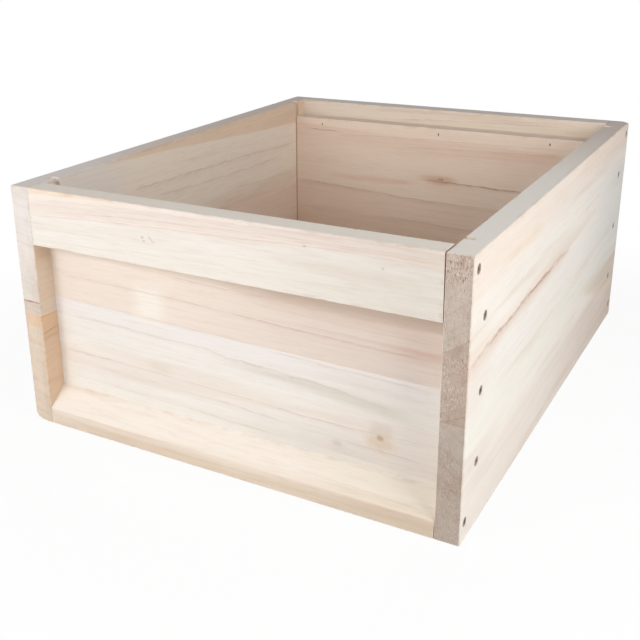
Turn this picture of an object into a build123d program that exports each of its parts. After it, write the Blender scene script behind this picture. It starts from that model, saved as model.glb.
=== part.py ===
"""Hive body: an open wooden box of edge-glued boards, tongued, screwed and pinned together.

Millimetres. The origin is the middle of the footprint on the ground. +X is the right wall,
+Y the rear and +Z up. The front and the rear are built alike, turned half round about Z,
but for the thin gap at one end of the front top rail.
"""

import os
from math import radians, tan

from build123d import *

# Overall size, taken over the outside of the boards
BOX_WIDTH = 420.0
BOX_LENGTH = 516.0
BOX_HEIGHT = 228.0

# Board thicknesses
SIDE_THICKNESS = 20.0
BOARD_THICKNESS = 20.0
RAIL_THICKNESS = 20.0

# Rails on the outside of the wall boards. The front top rail is cut a little short.
TOP_RAIL_HEIGHT = 52.0
BOTTOM_RAIL_LIP = 16.0
BOTTOM_RAIL_SLOPE = 17.0
FRONT_RAIL_END_GAP = 1.0

# The frame lugs hang in a rebate: the ledge is the top edge of the wall board
LUG_DROP = 18.0

# Tongue on each end of a wall board, flush with the board's inside face
TONGUE_THICKNESS = 7.0
TONGUE_LENGTH = 7.5
TONGUE_CLEARANCE = 0.1
TONGUE_END_CLEARANCE = 0.5

# Heights of the glue lines between the lower and the upper stave
LEFT_WALL_JOINT = 121.0
RIGHT_WALL_JOINT = 100.0
BOARD_JOINT = 119.0

# Sharp edges are broken with sandpaper
ARRIS = 0.6

# Countersunk wood screws with a cross recess, driven through the side walls
SCREW_LENGTH = 50.0
SCREW_HEAD_RADIUS = 4.0
SCREW_HEAD_RIM = 0.4
SCREW_HEAD_ANGLE = 90.0
SCREW_SHANK_RADIUS = 2.0
SCREW_TIP_LENGTH = 5.0
SCREW_TIP_RADIUS = 0.3
SCREW_SINK = 0.5
SCREW_SIDES = 20
RECESS_SPAN = 4.4
RECESS_WIDTH = 1.1
RECESS_DEPTH = 2.0
RECESS_TAPER = 8.0

# Screw heights: one screw in each rail end, the board screws spread evenly from the lowest to the highest
RAIL_SCREW_BELOW_RIM = 12.0
RAIL_SCREW_ABOVE_GROUND = 16.0
BOARD_SCREW_LOW = 57.0
BOARD_SCREW_BELOW_LEDGE = 35.0
BOARD_SCREW_COUNT = 3

# Pins of flat wire, driven by eye from inside through a wall board into a rail.
# Their places run from left to right as seen from inside the box.
PIN_HEAD_WIDTH = 2.8
PIN_HEAD_HEIGHT = 1.0
PIN_WIDTH = 1.8
PIN_THICKNESS = 1.4
PIN_TIP_LENGTH = 2.0
PIN_TIP_WIDTH = 0.4
PIN_SINK = 0.8
PIN_COVER = 6.0
PIN_PLACES = (-152.0, 3.0, 135.0)
PIN_BELOW_LEDGE = 7.0
PIN_ABOVE_GROUND = 9.0

# Holes are a little wider and deeper than what is driven into them
HOLE_CLEARANCE = 0.05
HOLE_RUNOUT = 1.0

# Places that follow from the sizes above
inside_width = BOX_WIDTH - 2 * SIDE_THICKNESS
end_face = BOX_LENGTH / 2
rail_middle = end_face - RAIL_THICKNESS / 2
board_outside = end_face - RAIL_THICKNESS
board_middle = board_outside - BOARD_THICKNESS / 2
board_inside = board_outside - BOARD_THICKNESS
ledge_height = BOX_HEIGHT - LUG_DROP
tongue_middle = board_inside + TONGUE_THICKNESS / 2
groove_width = TONGUE_THICKNESS + 2 * TONGUE_CLEARANCE
groove_depth = TONGUE_LENGTH + TONGUE_END_CLEARANCE
rail_screw_heights = (RAIL_SCREW_ABOVE_GROUND, BOX_HEIGHT - RAIL_SCREW_BELOW_RIM)
board_screw_step = (ledge_height - BOARD_SCREW_BELOW_LEDGE - BOARD_SCREW_LOW) / (BOARD_SCREW_COUNT - 1)
board_screw_heights = [BOARD_SCREW_LOW + i * board_screw_step for i in range(BOARD_SCREW_COUNT)]
screw_cone = (SCREW_HEAD_RADIUS - SCREW_SHANK_RADIUS) / tan(radians(SCREW_HEAD_ANGLE / 2))
screw_neck = SCREW_HEAD_RIM + screw_cone
pin_length = BOARD_THICKNESS + RAIL_THICKNESS - PIN_COVER - PIN_SINK
pin_points = [(place_along, 0) for place_along in PIN_PLACES]

LEFT, RIGHT = -1, 1
FRONT, REAR = -1, 1
HALF_TURN = 180.0

os.makedirs("parts", exist_ok=True)


def save(piece, name):
    """Label one finished piece and write it to its own file."""
    piece.part.label = name
    export_step(piece.part, f"parts/{name}.step")


def wall_plane(side, inset=0.0):
    """Plane on a side wall, inset from its outside face: Z points outward, Y up."""
    return Plane(
        origin=(side * (BOX_WIDTH / 2 - inset), 0, 0),
        x_dir=(0, side, 0),
        z_dir=(side, 0, 0),
    )


def pin_plane(height):
    """Plane under the inside face of the front wall board, on the pin heads: Z points into the box."""
    return Plane(
        origin=(0, -board_inside - PIN_SINK, height),
        x_dir=(-1, 0, 0),
        z_dir=(0, 1, 0),
    )


top_pin_plane = pin_plane(ledge_height - PIN_BELOW_LEDGE)
bottom_pin_plane = pin_plane(PIN_ABOVE_GROUND)


def corner_points(side, end):
    """Screw places of one corner, in the coordinates of that side's wall plane."""
    toward_end = side * end
    rail_points = [(toward_end * rail_middle, height) for height in rail_screw_heights]
    board_points = [(toward_end * board_middle, height) for height in board_screw_heights]
    return rail_points + board_points


def turned_body(profile):
    """A turned body, head up: a many-sided section at each depth and radius of its profile."""
    with BuildPart() as body:
        for depth, radius in profile:
            with BuildSketch(Plane.XY.offset(-depth)):
                RegularPolygon(radius, SCREW_SIDES)
        loft(ruled=True)
    return body


def flat_body(profile, thickness):
    """A body of flat wire, head up: a rectangle at each depth and width of its profile."""
    with BuildPart() as body:
        for depth, width in profile:
            with BuildSketch(Plane.XY.offset(-depth)):
                Rectangle(thickness, width)
        loft(ruled=True)
    return body


def place(body, plane, points, mode=Mode.ADD):
    """Put a copy of a body at each point of a plane, in the piece under construction."""
    with Locations(plane):
        with Locations(*points):
            add(body.part, mode=mode)


# One screw, with the middle of its flat head at the origin, and the hole that it sits in
screw_shank = turned_body(
    [
        (0, SCREW_HEAD_RADIUS),
        (SCREW_HEAD_RIM, SCREW_HEAD_RADIUS),
        (screw_neck, SCREW_SHANK_RADIUS),
        (SCREW_LENGTH - SCREW_TIP_LENGTH, SCREW_SHANK_RADIUS),
        (SCREW_LENGTH, SCREW_TIP_RADIUS),
    ]
)
screw_hole = turned_body(
    [
        (-SCREW_SINK - HOLE_RUNOUT, SCREW_HEAD_RADIUS + HOLE_CLEARANCE),
        (SCREW_HEAD_RIM, SCREW_HEAD_RADIUS + HOLE_CLEARANCE),
        (screw_neck, SCREW_SHANK_RADIUS + HOLE_CLEARANCE),
        (SCREW_LENGTH + HOLE_RUNOUT, SCREW_SHANK_RADIUS + HOLE_CLEARANCE),
    ]
)
with BuildPart() as screw:
    add(screw_shank.part)
    with BuildSketch():
        Rectangle(RECESS_SPAN, RECESS_WIDTH)
        Rectangle(RECESS_WIDTH, RECESS_SPAN)
    extrude(amount=-RECESS_DEPTH, taper=RECESS_TAPER, mode=Mode.SUBTRACT)

# One pin, with the middle of its head at the origin, and the hole that it makes
pin = flat_body(
    [
        (0, PIN_HEAD_WIDTH),
        (PIN_HEAD_HEIGHT, PIN_WIDTH),
        (pin_length - PIN_TIP_LENGTH, PIN_WIDTH),
        (pin_length, PIN_TIP_WIDTH),
    ],
    PIN_THICKNESS,
)
pin_hole = flat_body(
    [
        (-PIN_SINK - HOLE_RUNOUT, PIN_HEAD_WIDTH + 2 * HOLE_CLEARANCE),
        (0, PIN_HEAD_WIDTH + 2 * HOLE_CLEARANCE),
        (PIN_HEAD_HEIGHT, PIN_WIDTH + 2 * HOLE_CLEARANCE),
        (pin_length + HOLE_RUNOUT, PIN_WIDTH + 2 * HOLE_CLEARANCE),
    ],
    PIN_THICKNESS + 2 * HOLE_CLEARANCE,
)


def side_wall(side):
    """Full-length wall with a housing groove near each end and its countersunk screw holes."""
    with BuildPart() as wall:
        with BuildSketch(wall_plane(side)):
            with Locations((0, BOX_HEIGHT / 2)):
                Rectangle(BOX_LENGTH, BOX_HEIGHT)
        extrude(amount=-SIDE_THICKNESS)
        chamfer(wall.edges(), ARRIS)
        with BuildSketch(wall_plane(side, SIDE_THICKNESS)):
            with Locations((0, BOX_HEIGHT / 2)):
                with GridLocations(2 * tongue_middle, 0, 2, 1):
                    Rectangle(groove_width, BOX_HEIGHT)
        extrude(amount=groove_depth, mode=Mode.SUBTRACT)
        for end in (FRONT, REAR):
            place(screw_hole, wall_plane(side, SCREW_SINK), corner_points(side, end), Mode.SUBTRACT)
    return wall


def drill_front():
    """Drill the front piece under construction for every screw and pin that reaches it."""
    for side in (LEFT, RIGHT):
        place(screw_hole, wall_plane(side, SCREW_SINK), corner_points(side, FRONT), Mode.SUBTRACT)
    for plane in (bottom_pin_plane, top_pin_plane):
        place(pin_hole, plane, pin_points, Mode.SUBTRACT)


def stave(panel, joint, keep):
    """One of the two strips that a panel is glued from, below or above its glue line."""
    with BuildPart() as strip:
        add(panel.part)
        split(bisect_by=Plane.XY.offset(joint), keep=keep)
    return strip


def turned_round(piece, turn):
    """The same piece, turned about the box's upright middle line."""
    with BuildPart() as copy:
        add(piece.part, rotation=(0, 0, turn))
    return copy


# Side walls, each glued from two staves
for wall_name, wall_side, wall_joint in (
    ("left_wall", LEFT, LEFT_WALL_JOINT),
    ("right_wall", RIGHT, RIGHT_WALL_JOINT),
):
    wall_panel = side_wall(wall_side)
    save(stave(wall_panel, wall_joint, Keep.BOTTOM), f"{wall_name}_lower_stave")
    save(stave(wall_panel, wall_joint, Keep.TOP), f"{wall_name}_upper_stave")

# Front wall board: tongued ends and an eased ledge, glued from two staves
with BuildPart() as board_panel:
    with BuildSketch():
        with Locations((0, -board_middle)):
            Rectangle(inside_width, BOARD_THICKNESS)
        with Locations((0, -tongue_middle)):
            Rectangle(inside_width + 2 * TONGUE_LENGTH, TONGUE_THICKNESS)
    extrude(amount=ledge_height)
    ledge_edges = board_panel.edges().filter_by(Axis.X).group_by(Axis.Z)[-1]
    chamfer(ledge_edges.sort_by(Axis.Y)[-1], ARRIS)
    drill_front()
board_lower = stave(board_panel, BOARD_JOINT, Keep.BOTTOM)
board_upper = stave(board_panel, BOARD_JOINT, Keep.TOP)


def top_rail(end_gap):
    """Top rail of the front, which butts against the left wall and leaves a gap at the right one."""
    with BuildPart() as rail:
        with BuildSketch(Plane.XY.offset(BOX_HEIGHT - TOP_RAIL_HEIGHT)):
            with Locations((-end_gap / 2, -rail_middle)):
                Rectangle(inside_width - end_gap, RAIL_THICKNESS)
        extrude(amount=TOP_RAIL_HEIGHT)
        chamfer(rail.edges().filter_by(Axis.X), ARRIS)
        drill_front()
    return rail


# Front bottom rail: its top slopes down and outward from the wall board to a low lip
with BuildPart() as bottom_rail:
    with BuildSketch(Plane.YZ):
        with BuildLine():
            Polyline(
                (-board_outside, 0),
                (-end_face, 0),
                (-end_face, BOTTOM_RAIL_LIP),
                (-board_outside, BOTTOM_RAIL_LIP + BOTTOM_RAIL_SLOPE),
                close=True,
            )
        make_face()
    extrude(amount=inside_width / 2, both=True)
    chamfer(bottom_rail.edges().filter_by(Axis.X).group_by(Axis.Y)[0], ARRIS)
    drill_front()


def rail_pins(plane):
    """The pins that hold one rail to the front wall board."""
    with BuildPart() as pins:
        place(pin, plane, pin_points)
    return pins


def corner_screws(side, end):
    """The screws of one corner, each driven square through the side wall."""
    with BuildPart() as screws:
        place(screw, wall_plane(side, SCREW_SINK), corner_points(side, end))
    return screws


# The two ends of the box
for end_name, box_end, turn, end_gap in (
    ("front", FRONT, 0.0, FRONT_RAIL_END_GAP),
    ("rear", REAR, HALF_TURN, 0.0),
):
    save(turned_round(board_lower, turn), f"{end_name}_board_lower_stave")
    save(turned_round(board_upper, turn), f"{end_name}_board_upper_stave")
    save(turned_round(top_rail(end_gap), turn), f"{end_name}_top_rail")
    save(turned_round(bottom_rail, turn), f"{end_name}_bottom_rail")
    save(turned_round(rail_pins(top_pin_plane), turn), f"{end_name}_top_rail_pins")
    save(turned_round(rail_pins(bottom_pin_plane), turn), f"{end_name}_bottom_rail_pins")
    save(corner_screws(LEFT, box_end), f"{end_name}_left_screws")
    save(corner_screws(RIGHT, box_end), f"{end_name}_right_screws")
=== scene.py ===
"""Looks of the hive box: pale, planed, unfinished boards with driven screws and pins, on a white floor.

Metres, in the frame of the CAD part. Grain and small shapes are worked out in millimetres. Each board is
its CAD solid with worn arrises, and has its own piece of wood. Screws and pins are finer than the solids'.
"""

from math import copysign, cos, hypot, pi, radians, sin
from random import Random

import bmesh
import bpy
from mathutils import Matrix, Vector


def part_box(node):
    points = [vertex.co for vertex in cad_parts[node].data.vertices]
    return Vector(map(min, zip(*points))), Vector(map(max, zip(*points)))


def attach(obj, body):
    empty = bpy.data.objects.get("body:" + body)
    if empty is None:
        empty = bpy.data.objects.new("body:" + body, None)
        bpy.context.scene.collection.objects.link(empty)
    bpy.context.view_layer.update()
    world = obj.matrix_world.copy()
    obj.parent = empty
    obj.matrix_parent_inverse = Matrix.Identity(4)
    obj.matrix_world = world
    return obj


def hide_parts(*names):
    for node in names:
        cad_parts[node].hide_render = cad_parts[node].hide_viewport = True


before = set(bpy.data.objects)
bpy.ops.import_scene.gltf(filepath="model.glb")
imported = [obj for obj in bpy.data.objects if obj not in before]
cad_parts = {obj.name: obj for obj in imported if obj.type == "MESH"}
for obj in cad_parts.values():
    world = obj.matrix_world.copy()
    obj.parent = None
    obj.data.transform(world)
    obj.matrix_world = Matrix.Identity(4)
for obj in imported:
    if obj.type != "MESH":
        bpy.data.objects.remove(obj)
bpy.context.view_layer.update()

MM = 0.001
BODY = "root"
X, Y, Z = 0, 1, 2
scene = bpy.context.scene
scene.view_settings.view_transform = "Standard"

# Camera, fitted to the box's edges in the photograph
IMAGE_SIZE = 640
SENSOR_WIDTH = 36.0
FOCAL_PIXELS = 941.0
PRINCIPAL_POINT = (283.8, 270.7)
CAMERA_PLACE = Vector((0.3946, -0.8293, 0.4310))
CAMERA_YAW = radians(-30.064)
CAMERA_PITCH = radians(-19.756)
CAMERA_ROLL = radians(-0.958)

# Wood tones, as sRGB on a scale of 255
WHITE = (238, 232, 225)
MILK = (232, 226, 221)
CREAM = (240, 231, 220)
IVORY = (235, 229, 221)
PEARL = (233, 229, 219)
CHALK = (233, 228, 221)
SILK = (235, 229, 220)
LINEN = (235, 224, 214)
OYSTER = (232, 225, 215)
OAT = (239, 226, 211)
BUFF = (230, 221, 212)
ALMOND = (233, 221, 209)
BEIGE = (237, 221, 207)
BISQUE = (231, 218, 206)
PINK = (233, 218, 206)
SHELL = (240, 220, 203)
PEACH = (235, 212, 194)
BLUSH = (226, 208, 196)
DUSK = (229, 216, 206)
WHEAT = (223, 209, 191)
STRAW = (229, 215, 200)
FAWN = (222, 206, 192)
ROSE = (212, 193, 181)
TAN = (229, 210, 190)
FLAX = (232, 208, 185)
DRIFT = (211, 204, 200)
TAUPE = (196, 180, 166)
MAUVE = (190, 152, 138)
UMBER = (166, 130, 108)
BARK = (104, 78, 62)


def linear(tone):
    """A colour of the renderer, from an sRGB tone on a scale of 255."""
    shares = [channel / 255 for channel in tone]
    light = [s / 12.92 if s <= 0.04045 else ((s + 0.055) / 1.055) ** 2.4 for s in shares]
    return (*light, 1.0)


# Sockets of a mix node for its share and two colours, and for the mixed colour
MIX_INPUTS = (0, 6, 7)
MIX_RESULT = 2


class Tree:
    """The node tree of a material or a world, with short names for the nodes used here."""

    def __init__(self, block):
        block.use_nodes = True
        self.nodes = block.node_tree.nodes
        self.links = block.node_tree.links

    def feed(self, socket, value):
        """Link an output to a socket, or set the socket to a plain value."""
        if isinstance(value, bpy.types.NodeSocket):
            self.links.new(value, socket)
        elif value is not None:
            socket.default_value = value

    def put(self, kind, *values, out=0, **settings):
        """Add a node, feed its inputs in order and return one of its outputs."""
        node = self.nodes.new("ShaderNode" + kind)
        for name, value in settings.items():
            setattr(node, name, value)
        for socket, value in zip(node.inputs, values):
            self.feed(socket, value)
        return node.outputs[out]

    def math(self, operation, *values):
        return self.put("Math", *values, operation=operation)

    def minus(self, first, second):
        return self.math("SUBTRACT", first, second)

    def times_plus(self, value, factor, rest):
        """The value times the factor, plus the rest."""
        return self.math("MULTIPLY_ADD", value, factor, rest)

    def product(self, *values):
        """All the values multiplied together."""
        result = values[0]
        for value in values[1:]:
            result = self.math("MULTIPLY", result, value)
        return result

    def vector(self, operation, *values, out=0):
        return self.put("VectorMath", *values, operation=operation, out=out)

    def split(self, vector):
        """The three parts of a vector."""
        return tuple(self.put("SeparateXYZ", vector).node.outputs)

    def share(self, value, low, high):
        """How far a value is from low to high, from 0 to 1."""
        return self.put("MapRange", value, low, high)

    def span(self, value, low, high, to_low=0.0, to_high=1.0):
        """A smooth step from to_low to to_high as the value goes from low to high."""
        return self.put("MapRange", value, low, high, to_low, to_high, interpolation_type="SMOOTHSTEP")

    def place_in_mm(self):
        """The place on the piece, in millimetres."""
        return self.vector("SCALE", self.put("TexCoord", out="Object"), None, None, 1 / MM)

    def noise(self, point, size, detail=2.0, rough=0.5):
        """Noise of about 0.5, with a size along each axis."""
        scaled = self.vector("MULTIPLY", point, tuple(1 / s for s in size))
        return self.put("TexNoise", scaled, None, 1.0, detail, rough)

    def mix(self, share, first, second, blend_type="MIX"):
        """Mix two colours."""
        node = self.nodes.new("ShaderNodeMix")
        node.data_type = "RGBA"
        node.blend_type = blend_type
        for index, value in zip(MIX_INPUTS, (share, first, second)):
            self.feed(node.inputs[index], value)
        return node.outputs[MIX_RESULT]

    def ramp(self, value, stops):
        """Colour at a value, eased between stops of value and tone."""
        low, high = stops[0][0], stops[-1][0]
        node = self.nodes.new("ShaderNodeValToRGB")
        node.color_ramp.interpolation = "EASE"
        elements = node.color_ramp.elements
        while len(elements) < len(stops):
            elements.new(0.5)
        for element, (place, tone) in zip(elements, stops):
            element.position = (place - low) / (high - low)
            element.color = linear(tone)
        self.feed(node.inputs[0], self.share(value, low, high))
        return node.outputs[0]

    def track(self, place, points):
        """Height of a smooth line at a place, through points of place and height."""
        places, heights = zip(*points)
        start, end = places[0], places[-1]
        low, high = min(heights) - 1, max(heights) + 1
        node = self.nodes.new("ShaderNodeFloatCurve")
        handles = node.mapping.curves[0].points
        while len(handles) < len(points):
            handles.new(0.5, 0.5)
        for handle, (along, height) in zip(handles, points):
            handle.location = ((along - start) / (end - start), (height - low) / (high - low))
        node.mapping.update()
        self.feed(node.inputs["Value"], self.share(place, start, end))
        return self.times_plus(node.outputs[0], high - low, low)

    def coat(self, colour, rough, relief, strength, depth):
        """Give the shader a colour, a roughness and a fine relief, with its depth in millimetres."""
        bump = self.nodes.new("ShaderNodeBump")
        for name, value in (("Height", relief), ("Strength", strength), ("Distance", depth * MM)):
            self.feed(bump.inputs[name], value)
        shader = self.nodes["Principled BSDF"]
        for name, value in (("Base Color", colour), ("Roughness", rough), ("Normal", bump.outputs[0])):
            self.feed(shader.inputs[name], value)
        return shader


# Wood, with lengths in millimetres

SEED_STEP = (173.1, 41.7, 97.3)
SKIN_DEPTH = (4.0, 9.0)
COARSE_WAVE = (240, 60, 60)
FINE_WAVE = (26, 7, 7)
KNOT_STRETCH = 2.2
KNOT_REACH = 5
KNOT_PULL = 0.75
SPECK_STRETCH = 1.3
LINE_TAPER = (4.0, 22.0)
LINE_SKIRT = 4.0
CORE_SHARE = 0.65
END_DEPTH = (6.0, 2.0)
END_FACING = (0.5, 0.9)
END_SHARE = 0.85
DENSE_BORDER = (-5, 4)
DENSE_SHARE = 0.85
RIM_FACING = (0.85, 0.98)
RIM_SHARE = 0.85
EDGE_WEAR = (0.3, 4.0)
FACE_ROUGHNESS = 0.5
FIBRE_ROUGHNESS = 0.25
END_ROUGHNESS = 0.2
RIM_ROUGHNESS = 0.45
WOOD_SPECULAR = 0.3
WOOD_RELIEF = dict(strength=0.35, depth=0.25)


class Wood(Tree):
    """The wood of one board, built up step by step in the node tree of its material.

    The grain runs along the longer level side of the panel. A place in the wood has a distance along the
    grain, a height, and a depth under the board's face.
    """

    def __init__(self, name, panel, face, inward, seed):
        self.material = bpy.data.materials.new(name)
        super().__init__(self.material)
        self.low, self.high = panel
        size = self.high - self.low
        self.place = self.place_in_mm()
        x, y, self.height = self.split(self.place)
        self.along, across = (x, y) if size.x > size.y else (y, x)
        self.axis = Vector((1, 0, 0) if size.x > size.y else (0, 1, 0))
        self.depth = self.times_plus(across, inward, -face * inward)
        point = self.put("CombineXYZ", self.along, self.depth, self.height)
        self.point = self.vector("ADD", point, tuple(step * seed for step in SEED_STEP))
        self.skin = self.span(self.depth, *SKIN_DEPTH, 1.0, 0.0)
        self.normal = self.put("NewGeometry", out="True Normal")

    def texture(self, size, *fineness):
        """Noise of about 0.5, with a size along the grain, in depth and in height."""
        return self.noise(self.point, size, *fineness)

    def wave(self, size, *fineness):
        """The same noise, of about 0."""
        return self.minus(self.texture(size, *fineness), 0.5)

    def paint(self, share, tone, blend_type="MIX"):
        """Lay a tone over the wood so far."""
        self.colour = self.mix(share, self.colour, linear(tone), blend_type)

    def stain(self, share, tone=BLUSH):
        """Darken the wood so far by a tone."""
        self.paint(share, tone, "MULTIPLY")

    def near(self, along, height, stretch):
        """Distance from a place on the face, which counts less along the grain."""
        ahead = self.math("DIVIDE", self.minus(self.along, along), stretch)
        offset = self.put("CombineXYZ", ahead, self.minus(self.height, height), 0.0)
        return self.vector("LENGTH", offset, out="Value")

    def grow(self, course, pith, warp, knots):
        """Bend the main grain line round the knots, and find the distance from the pith."""
        rise = self.minus(self.height, self.track(self.along, course))
        for size, depth in ((COARSE_WAVE, 2 * warp), (FINE_WAVE, 0.8 * warp)):
            rise = self.times_plus(self.wave(size, 3.0), depth, rise)
        for along, height, size in knots:
            pull = self.span(self.near(along, height, KNOT_STRETCH), 0.0, KNOT_REACH * size, KNOT_PULL, 0.0)
            away = self.minus(self.height, height)
            rise = self.minus(rise, self.product(away, pull, self.skin))
        section = self.put("CombineXYZ", 0.0, self.depth, rise)
        self.radius = self.vector("DISTANCE", section, (0.0, *pith), out="Value")

    def lay_bands(self, bands, pith):
        """Broad bands of colour, given by their rise above the main grain line on the face."""
        stops = sorted((hypot(pith[0], rise - pith[1]), tone) for rise, tone in bands)
        self.colour = self.ramp(self.radius, stops)
        self.stain(self.span(self.texture((300, 30, 26)), 0.5, 0.7, 0.0, 0.35), PINK)

    def lay_tint(self, lower, upper, tone, soft=1.0, fade=(1, 1), deep=False, blend_type="MULTIPLY"):
        """Another tone between two lines, with streaky borders and faded ends, at the face or deep."""
        height = self.times_plus(self.wave((80, 4, 4), 3.0), 2 * soft, self.height)
        over = self.minus(height, self.track(self.along, lower))
        under = self.minus(self.track(self.along, upper), height)
        start, end = lower[0][0], lower[-1][0]
        cover = self.product(
            self.span(over, -soft, soft),
            self.span(under, -soft, soft),
            self.span(self.along, start, start + fade[0]),
            self.span(self.along, end, end - fade[1]),
            *([] if deep else [self.skin]),
        )
        self.paint(cover, tone, blend_type)

    def lay_rings(self, spacing):
        """Growth rings, each with darker early wood that is sharp on its inner side."""
        place = self.math("DIVIDE", self.radius, 3 * spacing)
        uneven = self.put("TexNoise", None, place, 1.0, 1.0, noise_dimensions="1D")
        count = self.times_plus(uneven, 2.4, self.math("DIVIDE", self.radius, spacing))
        part = self.math("FRACT", count)
        self.weight = self.put("TexWhiteNoise", None, self.math("FLOOR", count), noise_dimensions="1D")
        self.early = self.math("POWER", self.minus(1.0, part), 4.0)
        fading = self.span(self.texture((110, 18, 18)), 0.36, 0.64)
        self.stain(self.product(self.early, self.weight, fading, 0.2), ROSE)

    def lay_fibres(self, figure):
        """Ragged flame figure, and fine fibres, hairs and short pores along the grain."""
        flame = self.texture((34, 5, 2.4), 4.0, 0.65)
        self.fibre = self.texture((70, 1.5, 1.5), 5.0, 0.6)
        self.hair = self.texture((22, 0.35, 0.35), 2.0, 0.6)
        self.stain(self.span(flame, 0.46, 0.7, 0.0, figure))
        self.stain(self.span(self.fibre, 0.42, 0.75, 0.0, 0.1))
        self.stain(self.span(self.hair, 0.5, 0.8, 0.0, 0.08))
        dashes = self.span(self.texture((9, 0.55, 0.55), 1.0), 0.6, 0.72)
        self.pores = self.product(dashes, self.times_plus(self.early, 0.7, 0.3))
        self.paint(self.product(self.pores, 0.12), UMBER)

    def draw_line(self, points, above, below, strength, tone=MAUVE):
        """A ragged line along the grain through points on the face, with a faint skirt under it."""
        waver = self.wave((18, 18, 18), 4.0, 0.65)
        height = self.times_plus(waver, 1.8 * (above + below), self.height)
        off = self.minus(height, self.track(self.along, points))
        over = self.span(off, above, 0.0)
        core = self.math("MINIMUM", over, self.span(off, -below, 0.0))
        skirt = self.math("MINIMUM", over, self.span(off, -LINE_SKIRT * below, 0.0))
        body = self.times_plus(core, CORE_SHARE, self.product(skirt, 1 - CORE_SHARE))
        outside, inside = LINE_TAPER
        start, end = points[0][0], points[-1][0]
        taper = self.product(
            self.span(self.along, start - outside, start + inside),
            self.span(self.along, end + outside, end - inside),
        )
        broken = self.span(self.texture((15, 3, 3)), 0.3, 0.6, 0.45, 1.0)
        self.paint(self.product(body, taper, broken, strength, self.skin), tone)

    def draw_knot(self, along, height, size, stretch, halo_tone):
        """A small knot with a ragged rim and a halo that hangs under it."""
        rough = self.wave((6, 6, 4), 3.0)
        halo = self.times_plus(rough, 4 * size, self.near(along, height - 1.2 * size, stretch))
        ring = self.span(halo, size, KNOT_REACH * size, 0.7, 0.0)
        self.stain(self.product(ring, self.skin), halo_tone)
        core = self.times_plus(rough, 1.5 * size, self.near(along, height, stretch))
        self.paint(self.product(self.span(core, 0.4 * size, 1.3 * size, 0.55, 0.0), self.skin), UMBER)

    def draw_speck(self, along, height, size):
        """A dark speck on the face."""
        cover = self.span(self.near(along, height, SPECK_STRETCH), 0.3 * size, size, 0.36, 0.0)
        self.paint(self.product(cover, self.skin), UMBER)

    def cut_ends(self, tones, speckle, dense, joint, groove_light):
        """Cut fibres: dull ends with rings, pores, flecks and a glue line, and painted light on the faces in
        grooves.

        The tones go by height. The pores crowd above the dense height.
        """
        dull = self.ramp(self.height, tones)
        facing = self.math("ABSOLUTE", self.vector("DOT_PRODUCT", self.normal, self.axis, out="Value"))
        tip = self.high.dot(self.axis)
        outer = self.span(self.math("ABSOLUTE", self.along), *(tip - depth for depth in END_DEPTH))
        across = self.span(facing, *END_FACING)
        self.end = self.product(across, outer)
        if groove_light:
            # Painted light: the faces in the grooves are made pale as if lit from the front.
            self.paint(self.product(self.minus(across, self.end), groove_light), CREAM)
        along_grain = self.colour
        self.colour = self.mix(self.product(self.end, END_SHARE), self.colour, dull)
        self.stain(self.product(self.early, self.weight, 0.2 + speckle))
        self.stain(self.span(self.texture((60, 12, 18)), 0.4, 0.68, 0.0, 0.6 * speckle))
        swirl = self.math("ABSOLUTE", self.wave((60, 5, 9), 4.0, 0.6))
        self.stain(self.span(swirl, 0.0, 0.035, 0.4 * speckle, 0.0), TAUPE)
        saw_marks = self.texture((60, 40, 0.8))
        self.stain(self.span(saw_marks, 0.48, 0.75, 0.0, 0.4 * speckle))
        crowd = self.span(self.texture((60, 18, 26)), 0.36, 0.64, 0.2 * speckle, speckle)
        thick = self.span(self.height, *(dense + way for way in DENSE_BORDER), 0.0, DENSE_SHARE)
        crowd = self.math("MAXIMUM", crowd, thick)
        self.dots = self.span(self.texture((40, 0.7, 3.2), 3.0, 0.6), 0.54, 0.66)
        self.paint(self.product(self.dots, crowd), BARK)
        flecks = self.span(self.texture((33, 0.7, 2.6), 1.0), 0.56, 0.7)
        self.paint(self.product(flecks, crowd, 0.6), WHITE)
        height, strength = joint
        above = self.minus(self.height, height)
        off = self.math("ABSOLUTE", self.times_plus(self.wave((60, 4, 2)), 1.2, above))
        starved = self.span(self.texture((60, 9, 60), 1.0), 0.35, 0.65, 0.25, strength)
        self.paint(self.product(self.span(off, 0.3, 1.2, 1.0, 0.0), starved), UMBER)
        self.colour = self.mix(self.end, along_grain, self.colour)

    def wear_and_rim_shading(self, rim_shading_tone, rim_shade_turn):
        """Handled edges, and a rougher rim in a tone of painted shading, mostly painted shade where less
        light falls on the tops, which may darken to a far painted shade between a start and an end.
        """
        above_low = self.vector("SUBTRACT", self.place, self.low)
        below_high = self.vector("SUBTRACT", self.high, self.place)
        a, b, c = self.split(self.vector("MINIMUM", above_low, below_high))
        larger = self.math("MINIMUM", self.math("MAXIMUM", a, b), c)
        edge = self.math("MAXIMUM", self.math("MINIMUM", a, b), larger)
        up = self.split(self.normal)[Z]
        self.rim = self.span(up, *RIM_FACING, 0.0, RIM_SHARE)
        # Painted shading: upward faces take the rim tone, mostly a painted shade of the weak light from
        # above.
        self.paint(self.rim, rim_shading_tone)
        # Painted shade: the rim darkens towards a far end, where less lamp light reaches.
        if rim_shade_turn:
            far_shade_tone, start, end = rim_shade_turn
            self.paint(self.product(self.rim, self.span(self.along, start, end)), far_shade_tone)
        rubbed = self.span(self.texture((18, 6, 6), 3.0), 0.45, 0.7, 0.0, 0.4)
        self.stain(self.product(self.span(edge, *EDGE_WEAR, 1.0, 0.0), rubbed))

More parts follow.
